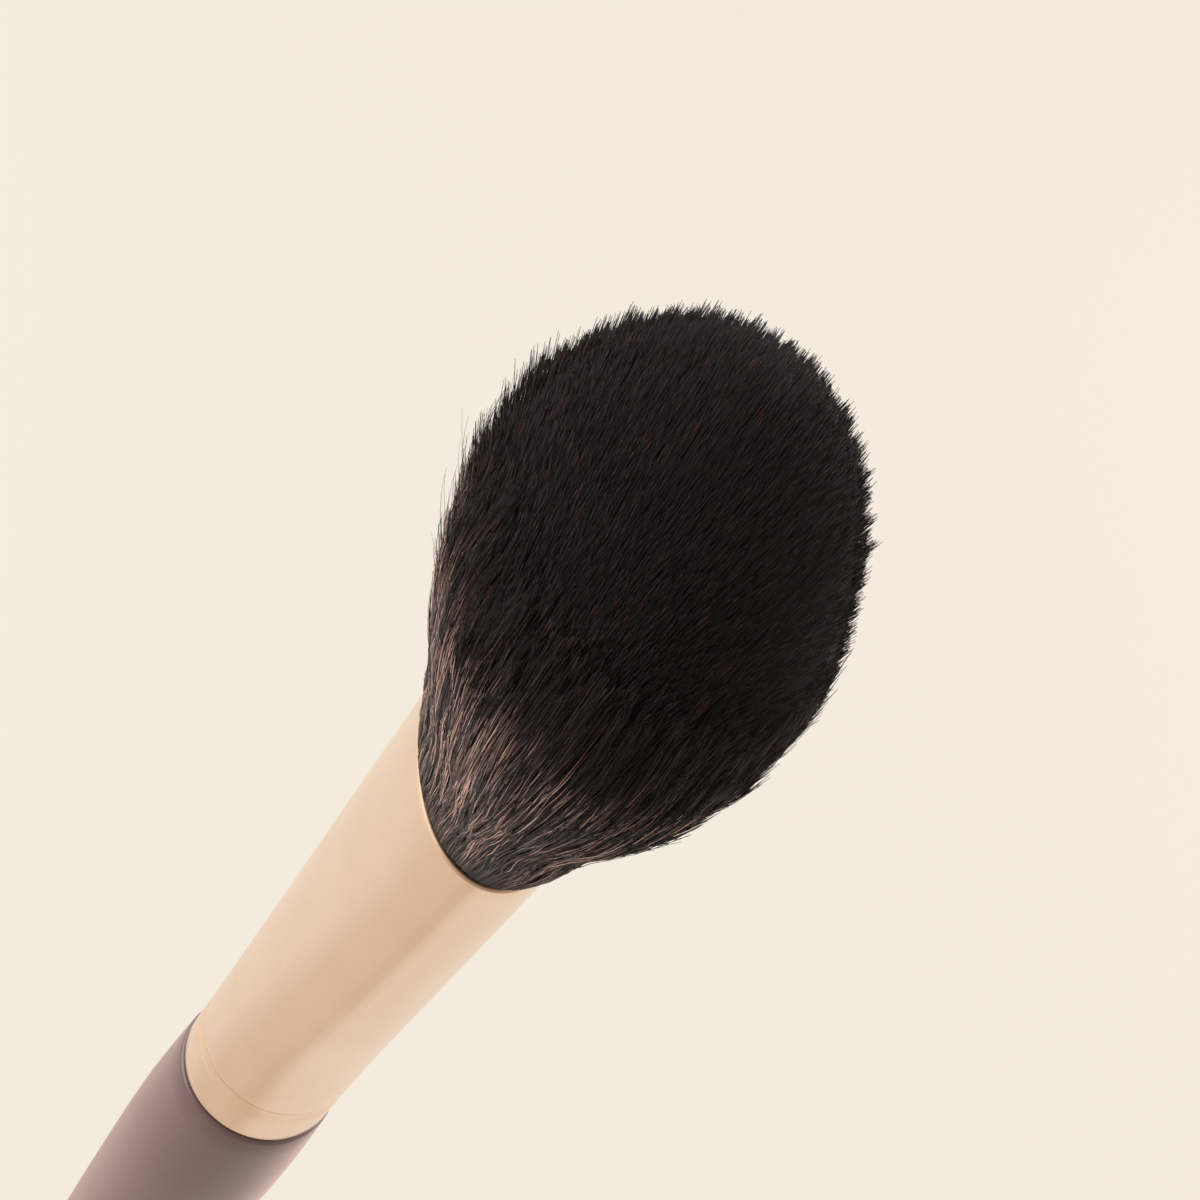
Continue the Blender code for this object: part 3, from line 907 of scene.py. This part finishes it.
def resinFinish():
    # cured adhesive, dark amber with cloudy patches and small pits
    material, shader, wire = newMaterial("cured_resin", {"Coat Weight": 0.4, "Coat Roughness": 0.2})
    place = objectPlace(wire)
    clouds = wire.noise(place, scale=600.0, detail=3.0)
    pits = wire.noise(place, scale=3500.0)
    wire.plug(shader, "Base Color", wire.mixed(clouds.stepped(0.3, 0.7), *resin["shades"]))
    wire.plug(shader, "Roughness", resin["roughness"] + clouds * resin["cloudRoughness"])
    skin = clouds + pits * resin["pitHeight"]
    wire.plug(shader, "Normal", bumped(wire, skin, strength=0.4, distance=0.0001))
    return material


thread = {
    "shades": ((0.42, 0.36, 0.28, 1), (0.62, 0.56, 0.47, 1)),
    "roughness": 0.55,
    "waxRoughness": 0.3,
}


def threadFinish():
    # waxed cotton, with the fibres of each turn running round the bundle
    material, shader, wire = newMaterial("waxed_thread", {"Specular IOR Level": 0.3})
    place = objectPlace(wire)
    fibres = wire.noise(wire.stretched(place, (0.15, 0.15, 1)), scale=7000.0, detail=3.0)
    wax = wire.noise(place, scale=900.0)
    wire.plug(shader, "Base Color", wire.mixed(fibres.stepped(0.3, 0.7), *thread["shades"]))
    wire.plug(shader, "Roughness", thread["roughness"] + wax * thread["waxRoughness"])
    wire.plug(shader, "Normal", bumped(wire, fibres, strength=0.6, distance=0.00008))
    return material


def finishInside():
    for node, material in (("glue_plug", resinFinish()), ("binding_thread", threadFinish())):
        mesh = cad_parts[node].data
        mesh.materials.clear()
        mesh.materials.append(material)
    print("inside finished")


# Studio: a pale floor, soft light and the photograph's camera

studio = {
    "cream": (0.914, 0.847, 0.758, 1),
    "floorRadius": 3.0,
    "backdrop": (0.861, 0.804, 0.705, 1),  # the floor as the camera sees it, near and far
    "backdropFar": (0.819, 0.742, 0.661, 1),
    "farFade": (-0.2, 0.9),
    "backdropPlain": (0.905, 0.831, 0.73, 1),  # past the shadow, where no lamplight is added, and the sky
    "plainFade": (0.3, 0.65),
    "floorGlow": 0.85,
    "skyLight": 0.5,
    "dimAzimuth": 4.0,  # direction of the dim side of the floor, from +X towards +Y
    "dimFade": (-2.0, -1.2),  # angles from there at which it starts, and ends, in radians
    "dimEnd": (0.0, 0.3),
    "dimShare": 0.3,
    "dimDip": 0.16,  # more of it beside the sharp end
    "dipFade": (-0.6, 0.0),
    "dimTint": (0.55, 0.37, 0.25, 1),
    "lamps": (  # name, place, size and power
        ("key", (-0.15, -0.8, 0.2), 1.2, 16.0),
        ("fill", (-0.44, 0.8, 0.32), 1.0, 15.0),
    ),
    "lampAim": (0, 0, 0.14),
    "cameraPlace": (0.08922, -0.03528, 0.25615),
    "cameraAzimuth": 69.2,
    "cameraElevation": 43.75,
    "cameraRoll": 37.62,
    "cameraLens": 66.0,
}


def rayKinds(wire):
    # 1 for what the camera sees, and 1 for what is mirrored or seen through something
    rays = wire.node("ShaderNodeLightPath").socket.node.outputs
    mirrored = Wire(wire.tree, rays["Is Glossy Ray"]) + Wire(wire.tree, rays["Is Transmission Ray"])
    return Wire(wire.tree, rays["Is Camera Ray"]), mirrored


def dimSide(wire):
    # how dim the floor is on the side that the metal shows as a stripe, with a soft and a sharp end
    across = wire.node("ShaderNodeVectorRotate", {"rotation_type": "Z_AXIS"}, {
        "Vector": objectPlace(wire),
        "Angle": math.radians(-studio["dimAzimuth"]),
    })
    parts = wire.node("ShaderNodeSeparateXYZ", None, {"Vector": across}).socket.node.outputs
    angle = wire.maths("ARCTAN2", Wire(wire.tree, parts["Y"]), Wire(wire.tree, parts["X"]))
    plateau = angle.stepped(*studio["dimFade"]) * studio["dimShare"]
    dip = angle.stepped(*studio["dipFade"]) * studio["dimDip"]
    return (plateau + dip) * (1 - angle.stepped(*studio["dimEnd"]))


def backdropShade(wire, plain):
    # what the camera sees: a slow gradient, and one plain colour further off
    parts = wire.node("ShaderNodeSeparateXYZ", None, {"Vector": objectPlace(wire)}).socket.node.outputs
    away = Wire(wire.tree, parts["Y"]) - Wire(wire.tree, parts["X"])
    near = wire.mixed(away.stepped(*studio["farFade"]), studio["backdrop"], studio["backdropFar"])
    return wire.mixed(plain, near, studio["backdropPlain"])


def makeFloor():
    # cream to the camera and in reflections, and lit by the lamps only near the brush, where its shadow is
    bm = bmesh.new()
    bmesh.ops.create_grid(bm, x_segments=8, y_segments=8, size=studio["floorRadius"])
    mesh = meshFrom(bm, "floor")
    material, shader, wire = newMaterial("cream_floor", {"Roughness": 0.9, "Base Color": studio["cream"]})
    camera, mirrored = rayKinds(wire)
    distance = wire.node("ShaderNodeVectorMath", {"operation": "LENGTH"}, {
        "Vector": objectPlace(wire),
    }, output=1)
    plain = distance.stepped(*studio["plainFade"])
    glow = wire.mixed(dimSide(wire) * mirrored, studio["cream"], studio["dimTint"])
    glow = wire.mixed(camera, glow, backdropShade(wire, plain))
    light = wire.node("ShaderNodeEmission", None, {"Color": glow})
    shown = plain * (1 - studio["floorGlow"]) + studio["floorGlow"]
    blend = wire.node("ShaderNodeMixShader", None, {
        0: camera * shown + mirrored,
        1: Wire(wire.tree, shader.outputs[0]),
        2: light,
    })
    wire.tree.links.new(blend.socket, wire.tree.nodes["Material Output"].inputs["Surface"])
    floor = bpy.data.objects.new("floor", mesh)
    bpy.context.scene.collection.objects.link(floor)
    mesh.materials.append(material)


def makeWorld():
    # a dim cream sky, which the camera and the metal see as bright as the floor
    world = bpy.data.worlds.new("studio")
    bpy.context.scene.world = world
    world.use_nodes = True
    background = world.node_tree.nodes["Background"]
    wire = Wire(world.node_tree)
    camera, mirrored = rayKinds(wire)
    seen = camera + mirrored
    wire.plug(background, "Color", wire.mixed(seen, studio["cream"], studio["backdropPlain"]))
    wire.plug(background, "Strength", seen * (1 - studio["skyLight"]) + studio["skyLight"])


def makeLamp(name, place, size, power):
    data = bpy.data.lights.new(name, "AREA")
    data.shape = "DISK"
    data.size = size
    data.energy = power
    lamp = bpy.data.objects.new(name, data)
    lamp.location = place
    lamp.rotation_mode = "QUATERNION"
    towards = Vector(studio["lampAim"]) - Vector(place)
    lamp.rotation_quaternion = towards.to_track_quat("-Z", "Y")
    bpy.context.scene.collection.objects.link(lamp)


def makeCamera():
    # the photograph's view: above the tips, with the brush leaning across the frame
    azimuth = math.radians(studio["cameraAzimuth"])
    elevation = math.radians(studio["cameraElevation"])
    back = Vector((
        math.sin(azimuth) * math.cos(elevation),
        -math.cos(azimuth) * math.cos(elevation),
        math.sin(elevation),
    ))
    right = Vector((0, 0, 1)).cross(back).normalized()
    level = Matrix((right, back.cross(right), back)).transposed()
    data = bpy.data.cameras.new("camera")
    data.sensor_width = 36.0
    data.lens = studio["cameraLens"]
    data.clip_start = 0.01
    camera = bpy.data.objects.new("camera", data)
    camera.rotation_mode = "QUATERNION"
    roll = Matrix.Rotation(math.radians(studio["cameraRoll"]), 3, "Z")
    camera.rotation_quaternion = (level @ roll).to_quaternion()
    camera.location = studio["cameraPlace"]
    bpy.context.scene.collection.objects.link(camera)
    bpy.context.scene.camera = camera


makeHandle()
makeFerrule()
makeHair()
finishInside()
makeFloor()
makeWorld()
for lampName, place, size, power in studio["lamps"]:
    makeLamp(lampName, place, size, power)
makeCamera()
print("studio set up")

bpy.context.scene.view_settings.view_transform = "Standard"
